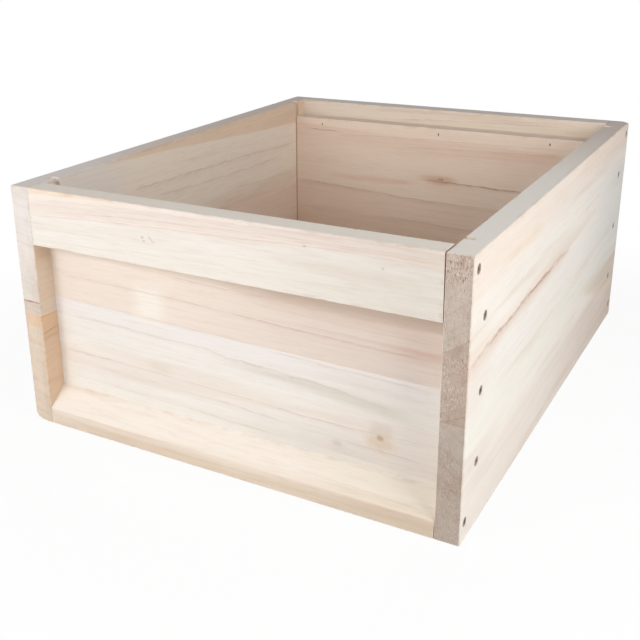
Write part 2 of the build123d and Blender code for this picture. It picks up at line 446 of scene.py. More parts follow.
    def finish(self):
        """Planed and unfinished: dull, with the fibres and pores as a fine relief."""
        rough = self.times_plus(self.end, END_ROUGHNESS, FACE_ROUGHNESS)
        rough = self.times_plus(self.fibre, FIBRE_ROUGHNESS, rough)
        rough = self.times_plus(self.rim, RIM_ROUGHNESS, rough)
        relief = self.times_plus(self.hair, 0.35, self.fibre)
        relief = self.times_plus(self.pores, -0.8, relief)
        relief = self.times_plus(self.product(self.end, self.dots), -1.2, relief)
        shader = self.coat(self.colour, rough, relief, **WOOD_RELIEF)
        shader.inputs["Specular IOR Level"].default_value = WOOD_SPECULAR
        return self.material


def wood_material(
    name, panel, face, course, pith, bands, seed, inward=1, warp=1.5, spacing=7.0, figure=0.2, tints=(),
    lines=(), knots=(), specks=(), end_tones=((0, TAUPE), (228, ROSE)), speckle=0.5, dense=300,
    joint=(-50, 0.0), groove_light=0.0, rim_shading_tone=CREAM, rim_shade_turn=None,
):
    """Wood of one board, from its grain, its colours and the marks on its face."""
    wood = Wood(name, panel, face, inward, seed)
    wood.grow(course, pith, warp, [knot[:3] for knot in knots])
    wood.lay_bands(bands, pith)
    for tint in tints:
        wood.lay_tint(**tint)
    wood.lay_rings(spacing)
    wood.lay_fibres(figure)
    for line in lines:
        wood.draw_line(*line)
    for knot in knots:
        wood.draw_knot(*knot)
    for speck in specks:
        wood.draw_speck(*speck)
    wood.cut_ends(end_tones, speckle, dense, joint, groove_light)
    wood.wear_and_rim_shading(rim_shading_tone, rim_shade_turn)
    return wood.finish()


# Boards: the grain, colours and marks of each, in millimetres
#
# The face is where the side that shows stands, and inward is the way from there into the wood.
# A line is its points along the grain and in height, its spread above and below, its strength, and its tone
# where that is not MAUVE.
# A knot is its place, its size, its stretch along the grain and the tone around it.
# A speck is its place and size.


def patch(places, lower, upper, tone, **more):
    """A tint between two lines, which have a height at each place along the grain, or one height for all."""
    def line(heights):
        return list(zip(places, heights if isinstance(heights, tuple) else (heights,) * len(places)))

    return dict(lower=line(lower), upper=line(upper), tone=tone, **more)


RAIL_STREAK = [(28, 213.8), (78, 215.8), (115, 216.3), (190, 215)]
FRONT_TOP_RAIL = dict(
    face=-258, seed=1, warp=1.6, spacing=5.0,
    course=[(-190, 203.8), (-135, 206.3), (-72, 210.3), (-10, 212.3), *RAIL_STREAK], pith=(60, -150),
    bands=[
        (-45, OYSTER), (-26, OYSTER), (-15, IVORY), (-1.2, IVORY), (0.4, LINEN), (9, DUSK), (14, LINEN),
        (26, OAT),
    ],
    tints=[
        # Painted falloff of the front light: darker towards the right end.
        patch((0, 260), 170, 240, (241, 240, 238), fade=(190, 1)),
        patch((-190, -60), (224, 226), 240, (252, 246, 238), fade=(1, 60)),
    ],
    lines=[
        ([(-190, 203.8), (-72, 210.3), *RAIL_STREAK], 0.6, 1.0, 0.3),
        ([(-120, 213.3), (-20, 217.8), (60, 220.3), (190, 221.4)], 0.6, 1.2, 0.26),
        ([(-170, 219.2), (-90, 222.3), (20, 224.3), (120, 225.4)], 0.6, 1.2, 0.22),
        ([(60, 217.8), (130, 219.4), (190, 218.4)], 0.6, 1.0, 0.32),
        ([(-175, 209), (-110, 213.5), (-60, 216)], 0.6, 1.0, 0.22),
        ([(-180, 189.2), (-60, 193.2), (60, 199.3)], 0.6, 1.5, 0.1),
        ([(-40, 184.2), (60, 187.3), (160, 192.4)], 0.6, 1.5, 0.1),
    ],
    specks=[
        (-68, 200.9, 1.7), (-66.5, 198, 1.4), (-61, 201.8, 1.2), (-59.6, 200.4, 1.2), (-58.4, 199, 1.1),
        (-56.5, 198.2, 1.1), (81.5, 215.8, 1.5), (144, 208.4, 1.3),
    ],
    rim_shading_tone=(244, 236, 225),
)
BOARD_STREAK = [(32, 139.5), (84, 137.7), (181, 135.6)]
FRONT_BOARD = dict(
    face=-238, seed=3, warp=0.8, spacing=8.0, figure=0.15,
    course=[(-190, 122.1), (-91, 120.3), (-41, 118.7), (34, 117.5), (189, 115.2)], pith=(40, -260),
    bands=[
        (-130, SILK), (-84, SILK), (-66, IVORY), (-52, WHITE), (-42, WHITE), (-32, CHALK), (-20, CHALK),
        (-13, MILK), (-1.0, MILK), (0.4, BISQUE), (22, BISQUE), (42, BISQUE), (48, FAWN), (60, FAWN),
        (100, FAWN),
    ],
    tints=[
        # Painted falloff of the front light: darker towards the right end.
        patch((-80, -41, 34, 260), (120.1, 118.8, 117.7, 114.3), 250, (240, 237, 237), soft=0.6,
              fade=(250, 1)),
        # Painted shadow of the top rail: a darker strip under it towards the right.
        patch((-60, 2, 84, 199), (164, 161.2, 158.8, 158), 250, (240, 238, 236), soft=0.8, fade=(110, 1)),
        # Painted falloff of the front light, in this tint and the next: darker towards the right end.
        patch((30, 300), -20, (117.7, 113.8), (246, 245, 244), soft=0.6, fade=(150, 1)),
        patch((20, 260), 38, (80, 78), (249, 246, 244), soft=7.0, fade=(120, 1)),
        patch((125, 199), (135, 134), (142, 143), (249, 239, 236), soft=3.0, fade=(50, 1)),
        patch((-20, 60, 109, 174), (92, 89, 84, 78), (99, 97, 93, 88), (243, 241, 238), soft=3.5,
              fade=(60, 40)),
        patch((-10, 150), 20, (61, 57), (248, 248, 248), soft=7.0, fade=(60, 60)),
        patch((-92, -56), 68, 79, (248, 247, 243), soft=4.0, fade=(15, 15)),
        patch((124, 150), 65, 75, (246, 244, 242), soft=3.0, fade=(9, 9)),
        patch((92, 105), 44.5, 49, (243, 239, 240), soft=2.0, fade=(5, 5)),
        # Painted highlight: a pale patch where a softbox reflects on the upper stave.
        patch((-108, -58), (117, 116), (150, 148), (239, 231, 220), soft=9.0, fade=(22, 20),
              blend_type="MIX"),
    ],
    lines=[
        ([(-70, 162.9), (-3, 160.8), (84, 158.5), (181, 157.9)], 0.6, 1.2, 0.42),
        ([(-184, 144.5), (-61, 143), (-15, 141.3), *BOARD_STREAK], 0.6, 1.3, 0.34),
        ([(-1, 140.9), *BOARD_STREAK], 0.5, 1.0, 0.3),
        ([(55, 143.5), (119, 142.4), (183, 141)], 0.6, 1.4, 0.26),
        ([(19, 153.5), (109, 150.5), (183, 148.5)], 0.6, 1.5, 0.18),
        ([(-186, 121.9), (-91, 120.1), (-41, 118.7), (34, 117.5), (185, 115.3)], 0.4, 0.8, 0.35),
        ([(-40, 117.6), (0, 116.4), (85, 115.4), (185, 113.8)], 0.8, 0.8, 0.6, CREAM),
        ([(40, 114.6), (85, 113), (125, 112.2), (150, 111.6), (183, 109.4)], 0.5, 0.9, 0.36),
        ([(-174, 105.9), (-117, 105.7), (-88, 104.1), (-26, 103.4), (-16, 102), (-3, 99.9)],
         0.9, 1.6, 0.36, TAUPE),
        ([(-20, 102.5), (-3, 99.9), (50, 97.7), (73, 95.9), (96, 94), (117, 91.3), (150, 86.5)],
         1.3, 2.6, 0.46, TAUPE),
        ([(-184, 71), (-105, 69.5), (-26, 67.5), (26, 65.8), (102, 63.6), (120, 63.9), (143, 65),
          (183, 65.4)], 0.7, 1.4, 0.34, TAUPE),
        ([(-184, 71), (-105, 69.5)], 0.5, 1.0, 0.3),
        ([(34, 65.4), (102, 63.6), (120, 63.9)], 0.5, 1.0, 0.34),
        ([(-31, 59), (10, 56.4), (52, 53.6)], 0.7, 1.5, 0.34),
        ([(93, 51), (134, 50.4), (183, 49)], 0.6, 1.2, 0.34),
        ([(-151, 60.6), (-61, 58.6)], 0.7, 1.8, 0.2, TAUPE),
        ([(-50, 43.2), (-3, 41), (50, 39)], 0.8, 1.7, 0.4, TAUPE),
        ([(-152, 45), (-50, 42.5)], 0.8, 1.7, 0.15, TAUPE),
    ],
    knots=[(135.7, 61.4, 2.4, 1.5, (240, 226, 206))],
)
FRONT_BOTTOM_RAIL = dict(
    face=-258, seed=2, warp=1.0, spacing=6.0, course=[(-190, 15), (190, 16)], pith=(70, -90),
    bands=[(-20, WHEAT), (-8, WHEAT), (-0.5, STRAW), (1.2, CREAM), (24, CREAM)],
    tints=[
        # Painted falloff of the front light: both tints darken the rail towards its right end.
        patch((20, 260), -10, 15, (240, 238, 235), fade=(160, 1)),
        patch((20, 260), 15, 60, (249, 248, 243), fade=(160, 1), deep=True),
    ],
    lines=[
        ([(-180, 10), (-80, 8.6), (60, 10.6)], 0.5, 1.5, 0.25),
        ([(40, 13), (185, 13.5)], 0.5, 1.5, 0.25),
        ([(60, 22.5), (130, 21), (185, 19)], 0.5, 1.5, 0.2),
    ],
)
LEFT_LOWER = dict(
    face=-190, inward=-1, seed=5, course=[(-258, 108), (258, 93)], pith=(36, -190),
    bands=[(-130, PINK), (-40, BEIGE), (-20, PINK), (0, BEIGE), (30, BEIGE)],
    tints=[
        # Painted shade: the recess side is darkened and warmed below the orange band.
        patch((-262, -230), -20, (108.5, 107), (231, 216, 198), fade=(1, 8)),
        patch((-262, -230), (84, 83), (108.5, 107), (254, 247, 238), fade=(1, 8)),
        patch((-262, -230), (106.3, 104.8), (108.5, 107), (252, 240, 226), soft=0.5, fade=(1, 8)),
        patch((-20, 262), 60, 130, (247, 239, 233), soft=2.0, fade=(70, 1)),
        patch((-262, -230), (108.5, 107), 130, (230, 226, 219), fade=(1, 8)),
    ],
    lines=[
        ([(-262, 90.2), (-248, 92.2), (-236, 94)], 0.6, 0.8, 0.85, BARK),
        ([(-262, 84.8), (-248, 86), (-236, 87.6)], 0.6, 1.0, 0.65, UMBER),
        ([(-262, 60), (-236, 63)], 0.6, 1.2, 0.3, UMBER),
        ([(-150, 62), (0, 56), (200, 45)], 0.6, 1.6, 0.3, UMBER),
    ],
    end_tones=[
        (0, (216, 200, 181)), (60, (216, 200, 181)), (95, (219, 202, 183)), (99, (222, 193, 165)),
        (107, (222, 191, 162)), (109.5, (210, 195, 182)), (121, (208, 194, 182)),
    ],
    speckle=0.2, joint=(120.8, 0.95), rim_shading_tone=DRIFT,
)
LEFT_UPPER = dict(
    face=-190, inward=-1, seed=6, warp=1.2,
    course=[(-258, 232), (-73, 221.5), (17, 215.4), (89, 210.5), (205, 203), (258, 199)], pith=(-40, 190),
    bands=[(-125, OAT), (-40, OAT), (-1.0, OAT), (0.6, FLAX), (10, FLAX), (40, FLAX)],
    tints=[
        # Painted shade: the recess side is darkened.
        patch((-262, -232), 100, 200, (231, 222, 211), fade=(1, 8)),
        # Painted shadow of the top rail: a slightly darker strip at the top of the recess side.
        patch((-262, -232), 161, 171, (253, 246, 243), soft=1.5, fade=(1, 8)),
        patch((-262, -100), (180, 200), 240, (233, 224, 215), soft=5.0, fade=(1, 70), blend_type="MIX"),
        patch((-40, 262), 100, (140, 130), (247, 236, 234), soft=10.0, fade=(80, 1)),
    ],
    lines=[
        ([(-120, 192), (-27, 188.7), (57, 185.6), (209, 176.8)], 1.7, 2.2, 0.4),
        ([(-84, 179), (0, 172.1), (187, 166)], 1.5, 2.8, 0.24),
        ([(58, 151), (211, 140)], 1.2, 2.5, 0.25),
    ],
    end_tones=[
        (121, (219, 211, 202)), (150, (221, 213, 205)), (170, (225, 218, 212)), (205, (226, 220, 217)),
        (228, (222, 215, 209)),
    ],
    # The groove share paints light on the faces of the grooves.
    speckle=0.16, joint=(120.8, 0.95), groove_light=0.6,
    # The rim tones are painted shade, darker towards the rear.
    rim_shading_tone=(231, 223, 220), rim_shade_turn=((210, 195, 185), -258, 120),
)
RIGHT_STREAK = [(-198, 148.2), (-142, 150), (-91, 151.4), (-35, 152.4)]
RIGHT_WALL = dict(
    face=210, inward=-1, seed=8, warp=1.2, spacing=9.0, figure=0.1,
    course=[(-258, 145.2), *RIGHT_STREAK, (95, 153.3), (258, 156.3)],
    bands=[
        (-160, BUFF), (-101, BUFF), (-92, SILK), (-60, PEARL), (-20, CHALK), (0, SILK), (30, SILK),
        (60, ALMOND), (85, ALMOND),
    ],
    tints=[
        patch((-195, -135, -70), (198, 199, 200), (204, 206, 206), (254, 249, 239), soft=3.0, fade=(40, 40)),
        patch((-270, -130, -20, 40), (137, 142, 146, 149), (154, 158, 159, 157), (252, 246, 243), soft=6.0,
              fade=(1, 60)),
        patch((-80, 165, 285), -30, (53, 56, 60), (246, 241, 238), soft=3.0, fade=(230, 1)),
        dict(lower=[(56, 86), (100, 77), (136, 67), (165, 55), (285, 46)], soft=5.0, fade=(70, 1),
             upper=[(56, 88), (160, 85), (248, 80), (285, 79)], tone=(247, 241, 234)),
        patch((180, 285), -30, 42, (245, 240, 237), soft=6.0, fade=(70, 1)),
        patch((-270, -180), 100, 176, (252, 249, 247), soft=10.0, fade=(1, 60)),
        patch((40, 285), (70, 60), (205, 190), (243, 245, 248), soft=14.0, fade=(200, 1)),
        patch((0, 60, 285), (222, 209, 202), 250, (252, 248, 246), soft=7.0, fade=(90, 1)),
    ],
    lines=[
        ([(-262, 145.2), *RIGHT_STREAK, (25, 152.8)], 3.0, 4.2, 0.42),
        ([(-215, 147.4), *RIGHT_STREAK[1:]], 1.9, 2.3, 0.55, UMBER),
        ([(-120, 150.6), *RIGHT_STREAK[2:]], 1.3, 1.6, 0.5, UMBER),
        ([(-45, 108.3), (15, 100.3), (65, 90.3)], 0.5, 1.2, 0.15, ROSE),
        ([(5, 106.3), (55, 99.3)], 0.5, 1.2, 0.15, ROSE),
        ([(105, 73.3), (165, 68.3), (258, 62)], 0.8, 2.0, 0.15, UMBER),
    ],
    specks=[(-18, 206.8, 1.3)], joint=(99.9, 0.4),
    # The rim tones are painted shade, darker towards the rear.
    rim_shading_tone=(242, 237, 229), rim_shade_turn=((207, 191, 182), -80, 270),
)
RIGHT_LOWER = dict(
    RIGHT_WALL, pith=(170, -300), speckle=0.35,
    end_tones=[
        (0, (171, 157, 144)), (25, (168, 153, 140)), (55, (162, 145, 131)), (72, (166, 150, 137)),
        (82, (171, 156, 145)), (100, (174, 159, 147)),
    ],
)
RIGHT_UPPER = dict(
    RIGHT_WALL, pith=(125, 190), speckle=0.55, dense=207,
    end_tones=[
        (100, (171, 151, 135)), (110, (177, 158, 143)), (130, (181, 162, 148)), (165, (185, 170, 158)),
        (203, (189, 175, 164)), (212, (184, 167, 154)), (228, (188, 172, 160)),
    ],
)
REAR_BOARD = dict(
    face=218, seed=9, warp=0.8, figure=0.16,
    course=[(-190, 128.8), (-104, 125.4), (-32, 121), (58, 119.9), (190, 118.4)], pith=(40, -260),
    bands=[
        (-130, PEACH), (-60, PEACH), (-1.0, PEACH), (0.5, SHELL), (40, SHELL), (68, PEACH), (73, PEACH),
        (75, SHELL), (100, SHELL),
    ],
    tints=[
        patch((-155, -90, -15), (136, 136, 137), (142, 142, 143), (249, 237, 233), soft=2.5, fade=(50, 30)),
        patch((-30, 10, 40), (145, 145.5, 145), (150, 153, 149), (242, 233, 226), soft=2.5, fade=(25, 25)),
        patch((50, 150), (182, 187), (188, 193), (252, 243, 240), soft=2.5, fade=(40, 10)),
        # Painted shade: a dark line along the inside corner with the left wall.
        patch((-190.6, -187.8), -20, 240, (206, 184, 168), fade=(0.5, 1.6)),
    ],
    lines=[
        ([(-180, 196.9), (-152, 196.4), (-120, 195.9)], 0.5, 0.6, 0.6, BARK),
        ([(-16, 147.1), (6, 146.6), (15, 146.2), (58, 145.6), (116, 144.5)], 1.2, 1.6, 0.62, UMBER),
        ([(12, 146.2), (58, 145.6), (116, 144.5)], 0.7, 0.9, 0.3, BARK),
        ([(-188, 128.9), (-104, 125.4), (-32, 121), (58, 119.9)], 0.9, 1.8, 0.32, UMBER),
        ([(-70, 93.4), (-23, 92.5), (18, 91), (66, 89.8)], 1.0, 1.8, 0.35),
        ([(-186, 93), (-140, 91.2)], 1.0, 1.8, 0.25),
        ([(-132, 191.3), (-42, 195.3), (38, 196.4), (158, 197.9)], 0.6, 1.5, 0.3),
        ([(-42, 184.3), (38, 187.4), (148, 190.4)], 0.6, 1.5, 0.25),
        ([(-32, 179.3), (58, 181.4), (138, 183.4)], 0.6, 1.5, 0.2),
    ],
    # The rim tone paints the ledge as a brownish shadow line under the rear rail.
    knots=[(8.2, 148.6, 1.6, 2.6, (244, 230, 218))], rim_shading_tone=FAWN,
)
REAR_TOP_RAIL = dict(
    face=238, seed=11, warp=0.8, spacing=5.0, course=[(-190, 211), (190, 216)], pith=(50, -120),
    bands=[(-50, PINK), (-20, TAN), (-1, WHEAT), (3, STRAW), (20, STRAW)],
    lines=[
        ([(-102, 222.3), (-22, 224.8), (58, 225.8)], 0.5, 1.0, 0.2, UMBER),
        ([(-62, 213.3), (18, 216.8), (148, 220)], 0.5, 1.2, 0.3, UMBER),
        ([(58, 221.4), (148, 223)], 0.5, 1.0, 0.2, UMBER),
    ],
    # The rim tone is painted shade, grey as the dim rear rim.
    rim_shading_tone=(214, 206, 201),
)
REAR_BOTTOM_RAIL = dict(
    face=258, inward=-1, seed=12, warp=1.0, spacing=6.0, course=[(-190, 9), (190, 6)], pith=(70, 110),
    bands=[(-20, BEIGE), (-1, PINK), (1, CREAM), (30, CREAM)],
    lines=[([(-160, 8.8), (-20, 7.6), (150, 6.4)], 0.5, 1.2, 0.35)],
)

WOODS = {
    "front_top_rail": FRONT_TOP_RAIL,
    "front_board_upper_stave": FRONT_BOARD,
    "front_board_lower_stave": FRONT_BOARD,
    "front_bottom_rail": FRONT_BOTTOM_RAIL,
    "left_wall_lower_stave": LEFT_LOWER,
    "left_wall_upper_stave": LEFT_UPPER,
    "right_wall_lower_stave": RIGHT_LOWER,
    "right_wall_upper_stave": RIGHT_UPPER,
    "rear_board_upper_stave": REAR_BOARD,
    "rear_board_lower_stave": REAR_BOARD,
    "rear_top_rail": REAR_TOP_RAIL,
    "rear_bottom_rail": REAR_BOTTOM_RAIL,
}


# Shapes

WELD_DISTANCE = 0.001


def millimetres(node):
    """Lowest and highest corner of a CAD node, in millimetres."""
    return tuple(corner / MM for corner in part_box(node))


def panel_box(board):
    """Lowest and highest corner of a board of one or two staves, in millimetres."""
    lows, highs = zip(*(millimetres(node) for node in WOODS if node.startswith(board)))
    return Vector(map(min, zip(*lows))), Vector(map(max, zip(*highs)))


def placed(name, data):
    """A new object in the scene."""
    piece = bpy.data.objects.new(name, data)
    scene.collection.objects.link(piece)
    return piece


def welded(node):
    """A CAD node's mesh as closed skins, with its corners joined."""
    skin = bmesh.new()
    skin.from_mesh(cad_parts[node].data)
    bmesh.ops.remove_doubles(skin, verts=skin.verts, dist=WELD_DISTANCE * MM)
    return skin


def plain_mesh(name, skin):
    """A flat-faced mesh of a skin's corners and faces alone."""
    skin.verts.index_update()
    mesh = bpy.data.meshes.new(name)
    mesh.from_pydata([v.co[:] for v in skin.verts], [], [[v.index for v in f.verts] for f in skin.faces])
    skin.free()
    return mesh


def carved(mesh, cutters):
    """The mesh less its cutters."""
    blank = placed("blank", mesh)
    tool = placed("tool", cutters)
    cut = blank.modifiers.new("cut", "BOOLEAN")
    cut.operation = "DIFFERENCE"
    cut.solver = "EXACT"
    cut.use_self = True
    cut.object = tool
    bpy.context.view_layer.update()
    result = bpy.data.meshes.new_from_object(blank.evaluated_get(bpy.context.evaluated_depsgraph_get()))
    for piece in (blank, tool):
        bpy.data.objects.remove(piece)
    return result


def show(mesh, node, kind, material):
    """Link a finished mesh as the piece that stands for a CAD node."""
    mesh.name = f"{node}_{kind}"
    mesh.materials.clear()
    mesh.materials.append(material)
    piece = placed(mesh.name, mesh)
    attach(piece, BODY)
    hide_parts(node)


# Chips along the arrises, knocked corners and crooked ends

CHIP_PITCH = 55.0
CHIP_LENGTH = (1.2, 5.0)
CHIP_RADIUS = (0.55, 1.25)
CHIP_UNEVEN = (0.8, 1.2)
CHIP_SWELL = (0.85, 1.1)
CHIP_PLACE = (0.01, 0.99)
RAIL_CHIPS = [(Vector((96, -258, 176)), (6.0, 1.5, 1.2))]


def arrises(panel, axes):
    """The edges of a box that run along the given axes: the axis, the start and the end of each."""
    for axis in axes:
        first, second = (other for other in (X, Y, Z) if other != axis)
        for a in panel:
            for b in panel:
                start = Vector(panel[0])
                start[first] = a[first]
                start[second] = b[second]
                end = start.copy()
                end[axis] = panel[1][axis]
                yield axis, start, end


def cast_ball(skin, centre, size, draw):
    """Add an uneven stretched ball to a skin, at a place in millimetres."""
    for corner in bmesh.ops.create_icosphere(skin, subdivisions=2, radius=1.0)["verts"]:
        swell = draw.uniform(*CHIP_SWELL)
        corner.co = MM * (centre + Vector(swell * c * s for c, s in zip(corner.co, size)))


def chips(panel, axes, seed, marked=()):
    """Uneven balls along the edges of a box on the given axes, and at marked places."""
    draw = Random(seed)
    skin = bmesh.new()
    for axis, start, end in arrises(panel, axes):
        run = end - start
        for _ in range(round(run.length / CHIP_PITCH)):
            radius = draw.uniform(*CHIP_RADIUS)
            size = [radius * draw.uniform(*CHIP_UNEVEN) for _ in range(3)]
            size[axis] = draw.uniform(*CHIP_LENGTH)
            cast_ball(skin, start + run * draw.uniform(*CHIP_PLACE), size, draw)
    for centre, size in marked:
        cast_ball(skin, centre, size, draw)
    return plain_mesh("chips", skin)


def knock_corner(skin, corner, inward, cuts):
    """Break off a corner of a skin in a few flats. A cut is how far its flat reaches along X, Y and Z."""
    for reach in cuts:
        normal = Vector(-inward / length for length in reach).normalized()
        on_plane = corner * MM
        on_plane.x += inward * reach[0] * MM
        cut = bmesh.ops.bisect_plane(
            skin, geom=skin.verts[:] + skin.edges[:] + skin.faces[:], plane_co=on_plane, plane_no=normal,
            clear_outer=True,
        )
        rim = [part for part in cut["geom_cut"] if isinstance(part, bmesh.types.BMEdge)]
        bmesh.ops.edgeloop_fill(skin, edges=rim)


# The axes of a board's chipped edges, the seed of its chips, and marked chips
CHIPS = {
    "left_wall": ((X, Y, Z), 21),
    "right_wall": ((X, Y), 22),
    "front_board": ((X,), 23),
    "rear_board": ((X,), 24),
    "front_top_rail": ((X,), 25, RAIL_CHIPS),
    "rear_top_rail": ((X,), 26),
    "front_bottom_rail": ((X,), 27),
    "rear_bottom_rail": ((X,), 28),
}

# The corner of a stave that is knocked off, the way inward from it on every axis, and the cuts
LOW, HIGH = 0, 1
KNOCKED_CORNERS = {
    "left_wall_lower_stave": (LOW, 1, ((10, 9, 4.6), (17, 15, 2.2), (5, 5, 8.5))),
    "right_wall_upper_stave": (HIGH, -1, ((4, 5, 3.5), (7, 8, 1.6), (2, 2.5, 6))),
}

# How far the right end of a rail stands off the square: at a height, towards the right wall
CROOKED_ENDS = {
    "front_top_rail": ((176, 0.65), (228, 0.0)),
    "front_bottom_rail": ((0, -0.6), (16, 0.0)),
}
END_TOLERANCE = 0.01


def cut_crooked(skin, low, high):
    """Lean the right end of a rail's skin, from a shift at a low place to one at a high place."""
    right_end = max(corner.co.x for corner in skin.verts)
    for corner in skin.verts:
        if corner.co.x > right_end - END_TOLERANCE * MM:
            share = (corner.co.z / MM - low[0]) / (high[0] - low[0])
            corner.co.x += MM * (low[1] + (high[1] - low[1]) * min(1.0, max(0.0, share)))


for node, spec in WOODS.items():
    board = node.removesuffix("_lower_stave").removesuffix("_upper_stave")
    panel = panel_box(board)
    skin = welded(node)
    if node in KNOCKED_CORNERS:
        which, inward, cuts = KNOCKED_CORNERS[node]
        knock_corner(skin, millimetres(node)[which], inward, cuts)
    if node in CROOKED_ENDS:
        cut_crooked(skin, *CROOKED_ENDS[node])
    mesh = carved(plain_mesh(node, skin), chips(panel, *CHIPS[board]))
    show(mesh, node, "wood", wood_material(node + "_grain", panel, **spec))


# Screws and pins: a screw's head is rings of depth and radius, a pin's of depth, width and thickness

SCREW_SIDES = 28
SCREW_HEAD = (
    (0.0, 3.0), (0.08, 3.3), (0.3, 3.8), (0.45, 3.95), (2.3, 2.0), (2.7, 1.62), (3.4, 1.45), (11.0, 1.45),
)
CROWN_DEPTH = (0.25, 0.04)
HEAD_LIFT = 0.4
THREAD_START = 12.0
THREAD_ROOT = 1.3
THREAD_CREST = 1.98
THREAD_PITCH = 2.4
THREAD_STEPS = 6
THREAD_SHARE = 0.38
TIP_LENGTH = 6.0
TIP_SHARE = 0.12
RECESS_SPAN = (4.6, 1.5)
RECESS_WIDTH = (1.15, 0.75)
RECESS_DEPTH = 2.2
RECESS_OVERCUT = 0.2
PIN_CORNERS = 16
PIN_HEAD = ((0.0, 1.9, 0.8), (0.12, 2.4, 1.15), (0.35, 2.72, 1.34), (0.55, 2.74, 1.36), (1.0, 1.8, 1.34))
PIN_POINT = ((2.0, 1.78, 1.34), (0.0, 0.36, 0.6))
PIN_SQUARENESS = 0.5
STEEL_RELIEF = dict(strength=0.3, depth=0.1)
SHARP_ANGLE = radians(35)
SPIN_SEED = 31
UPRIGHT = pi / 2


def lofted(rings):
    """A closed skin through rings of points, capped at both ends."""
    skin = bmesh.new()
    rows = [[skin.verts.new(point) for point in ring] for ring in rings]
    for upper, lower in zip(rows, rows[1:]):
        for i in range(len(upper)):
            skin.faces.new((upper[i - 1], upper[i], lower[i], lower[i - 1]))
    skin.faces.new(reversed(rows[0]))
    skin.faces.new(rows[-1])
    bmesh.ops.recalc_face_normals(skin, faces=skin.faces)
    return skin


def thread_radius(depth, turn, length):
    """Radius of a threaded shank at a depth and a share of a turn, running out to a point."""
    part = (depth / THREAD_PITCH - turn) % 1.0
    ridge = max(0.0, 1.0 - abs(2 * part - 1) / THREAD_SHARE)
    grown = min(1.0, (depth - THREAD_START) / THREAD_PITCH)
    left = min(1.0, (length - depth) / TIP_LENGTH)
    radius = THREAD_ROOT + (THREAD_CREST - THREAD_ROOT) * ridge * grown
    return radius * (TIP_SHARE + (1 - TIP_SHARE) * left)


def cross_recess():
    """Two crossed wedges that taper as they go down."""
    skin = bmesh.new()
    for turn in (0, 90):
        for corner in bmesh.ops.create_cube(skin, size=1.0)["verts"]:
            low = corner.co.z < 0
            x = corner.co.x * RECESS_SPAN[low]
            y = corner.co.y * RECESS_WIDTH[low]
            z = -RECESS_DEPTH if low else RECESS_OVERCUT
            corner.co = Matrix.Rotation(radians(turn), 3, "Z") @ Vector((x, y, z))
    return plain_mesh("recess", skin)


def screw_mesh(length):
    """One screw in millimetres, with the middle of its head at the origin and its point down."""
    turns = [i / SCREW_SIDES for i in range(SCREW_SIDES)]

    def ring(depth, radii):
        return [(r * cos(2 * pi * t), r * sin(2 * pi * t), -depth) for r, t in zip(radii, turns)]

    rings = [ring(depth, [radius] * SCREW_SIDES) for depth, radius in SCREW_HEAD]
    rows = round((length - THREAD_START) / THREAD_PITCH * THREAD_STEPS)
    for row in range(rows + 1):
        depth = THREAD_START + (length - THREAD_START) * row / rows
        rings.append(ring(depth, [thread_radius(depth, turn, length) for turn in turns]))
    return carved(plain_mesh("screw", lofted(rings)), cross_recess())


def pin_mesh(length):
    """One flat wire pin in millimetres, with the middle of its head at the origin and its point down."""
    def ring(depth, width, thickness):
        turns = [2 * pi * i / PIN_CORNERS for i in range(PIN_CORNERS)]
        circle = [(cos(t), sin(t)) for t in turns]
        square = [[copysign(abs(c) ** PIN_SQUARENESS, c) for c in point] for point in circle]
        return [(width / 2 * a, thickness / 2 * b, -depth) for a, b in square]

    sections = list(PIN_HEAD) + [(length - rest, width, thickness) for rest, width, thickness in PIN_POINT]
    return plain_mesh("pin", lofted([ring(*section) for section in sections]))


def solids(node):
    """Lowest and highest corner of each separate solid of a CAD node, in order of place."""
    skin = welded(node)
    left = set(skin.verts)
    boxes = []
    while left:
        reached = [left.pop()]
        for corner in reached:
            fresh = left.intersection(edge.other_vert(corner) for edge in corner.link_edges)
            left -= fresh
            reached.extend(fresh)
        corners = [corner.co for corner in reached]
        boxes.append((Vector(map(min, *corners)), Vector(map(max, *corners))))
    skin.free()
    return sorted(boxes, key=lambda box: tuple(box[0]))


def driven(node, fastener, axis, outward, lift, draw):
    """One mesh of a fastener at each solid of a CAD node, its head outward along an axis and lifted."""
    skin = bmesh.new()
    for low, high in solids(node):
        place = (low + high) / 2
        place[axis] = (high[axis] if outward > 0 else low[axis]) + outward * lift * MM
        head_up = Vector((0, 0, 0))
        head_up[axis] = outward
        turn = head_up.to_track_quat("Z", "Y").to_matrix().to_4x4()
        spin = Matrix.Rotation(draw(), 4, "Z")
        copy = fastener((high - low)[axis] / MM)
        copy.transform(Matrix.Translation(place) @ turn @ spin @ Matrix.Scale(MM, 4))
        skin.from_mesh(copy)
        bpy.data.meshes.remove(copy)
    mesh = bpy.data.meshes.new(node)
    skin.to_mesh(mesh)
    skin.free()
    mesh.shade_smooth()
    mesh.set_sharp_from_angle(angle=SHARP_ANGLE)
    return mesh


